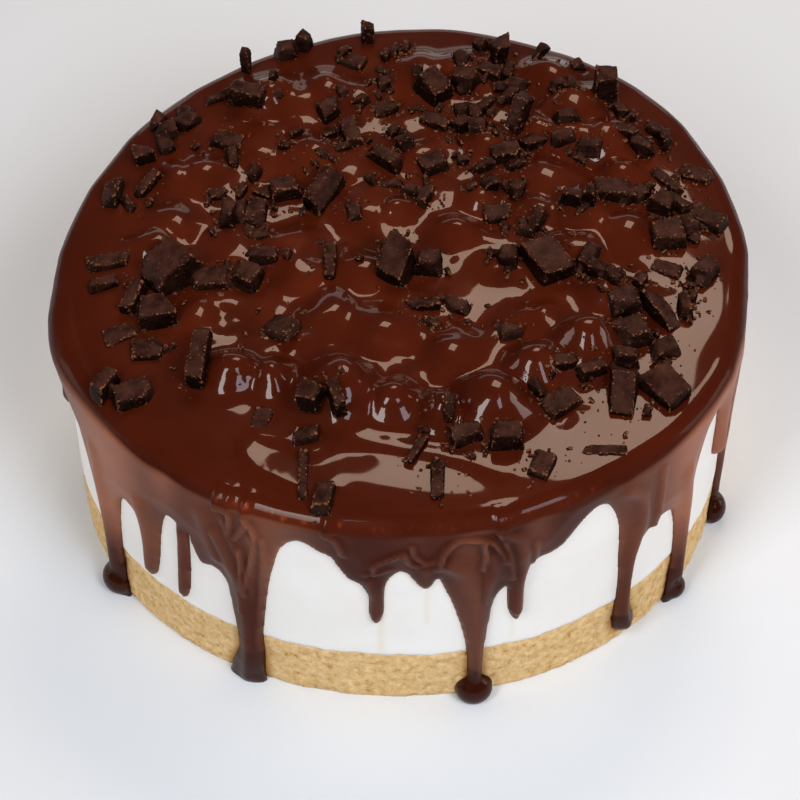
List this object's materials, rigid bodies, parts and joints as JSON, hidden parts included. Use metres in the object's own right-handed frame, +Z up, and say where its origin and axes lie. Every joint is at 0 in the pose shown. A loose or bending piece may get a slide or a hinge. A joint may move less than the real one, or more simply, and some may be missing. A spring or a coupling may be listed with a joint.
{
  "type": "chocolate chip cake",
  "caption": "Round layer cake: crumb base, tall white filling and a poured chocolate glaze that drips down the side, topped with chopped dark chocolate.",
  "frame": {"origin": "centre of the cake's underside, on the surface it stands on", "axes": "+Z up; -Y is the front seen in the picture, +X is to the viewer's right"},
  "size_m": [0.2234, 0.2252, 0.1084],
  "materials": {
    "crumb_base": "matt pressed biscuit crumbs, pale golden brown",
    "filling": "soft satin white cream",
    "glaze": "high gloss milk and dark chocolate glaze",
    "chopped_chocolate": "matt dark chocolate with paler crumbly broken edges"
  },
  "bodies": {
    "root": {"crumb_base": "crumb_base", "filling": "filling", "glaze": "glaze", "chunk_01": "chopped_chocolate", "chunk_02": "chopped_chocolate", "chunk_03": "chopped_chocolate", "chunk_04": "chopped_chocolate", "chunk_05": "chopped_chocolate", "chunk_06": "chopped_chocolate", "chunk_07": "chopped_chocolate", "chunk_08": "chopped_chocolate", "chunk_09": "chopped_chocolate", "chunk_10": "chopped_chocolate", "chunk_11": "chopped_chocolate", "chunk_12": "chopped_chocolate", "chunk_13": "chopped_chocolate", "chunk_14": "chopped_chocolate", "chunk_15": "chopped_chocolate", "chunk_16": "chopped_chocolate", "chunk_17": "chopped_chocolate", "chunk_18": "chopped_chocolate", "chunk_19": "chopped_chocolate", "chunk_20": "chopped_chocolate", "chunk_21": "chopped_chocolate", "chunk_22": "chopped_chocolate", "chunk_23": "chopped_chocolate", "chunk_24": "chopped_chocolate", "chunk_25": "chopped_chocolate", "chunk_26": "chopped_chocolate", "chunk_27": "chopped_chocolate", "chunk_28": "chopped_chocolate", "chunk_29": "chopped_chocolate", "chunk_30": "chopped_chocolate", "chunk_31": "chopped_chocolate", "chunk_32": "chopped_chocolate", "chunk_33": "chopped_chocolate", "chunk_34": "chopped_chocolate", "chunk_35": "chopped_chocolate", "chunk_36": "chopped_chocolate", "chunk_37": "chopped_chocolate", "chunk_38": "chopped_chocolate", "chunk_39": "chopped_chocolate", "chunk_40": "chopped_chocolate", "chunk_41": "chopped_chocolate", "chunk_42": "chopped_chocolate", "chunk_43": "chopped_chocolate", "chunk_44": "chopped_chocolate", "chunk_45": "chopped_chocolate", "chunk_46": "chopped_chocolate", "chunk_47": "chopped_chocolate", "chunk_48": "chopped_chocolate", "chunk_49": "chopped_chocolate", "chunk_50": "chopped_chocolate", "chunk_51": "chopped_chocolate", "chunk_52": "chopped_chocolate", "chunk_53": "chopped_chocolate", "chunk_54": "chopped_chocolate", "chunk_55": "chopped_chocolate", "chunk_56": "chopped_chocolate", "chunk_57": "chopped_chocolate"}
  },
  "joints": []
}
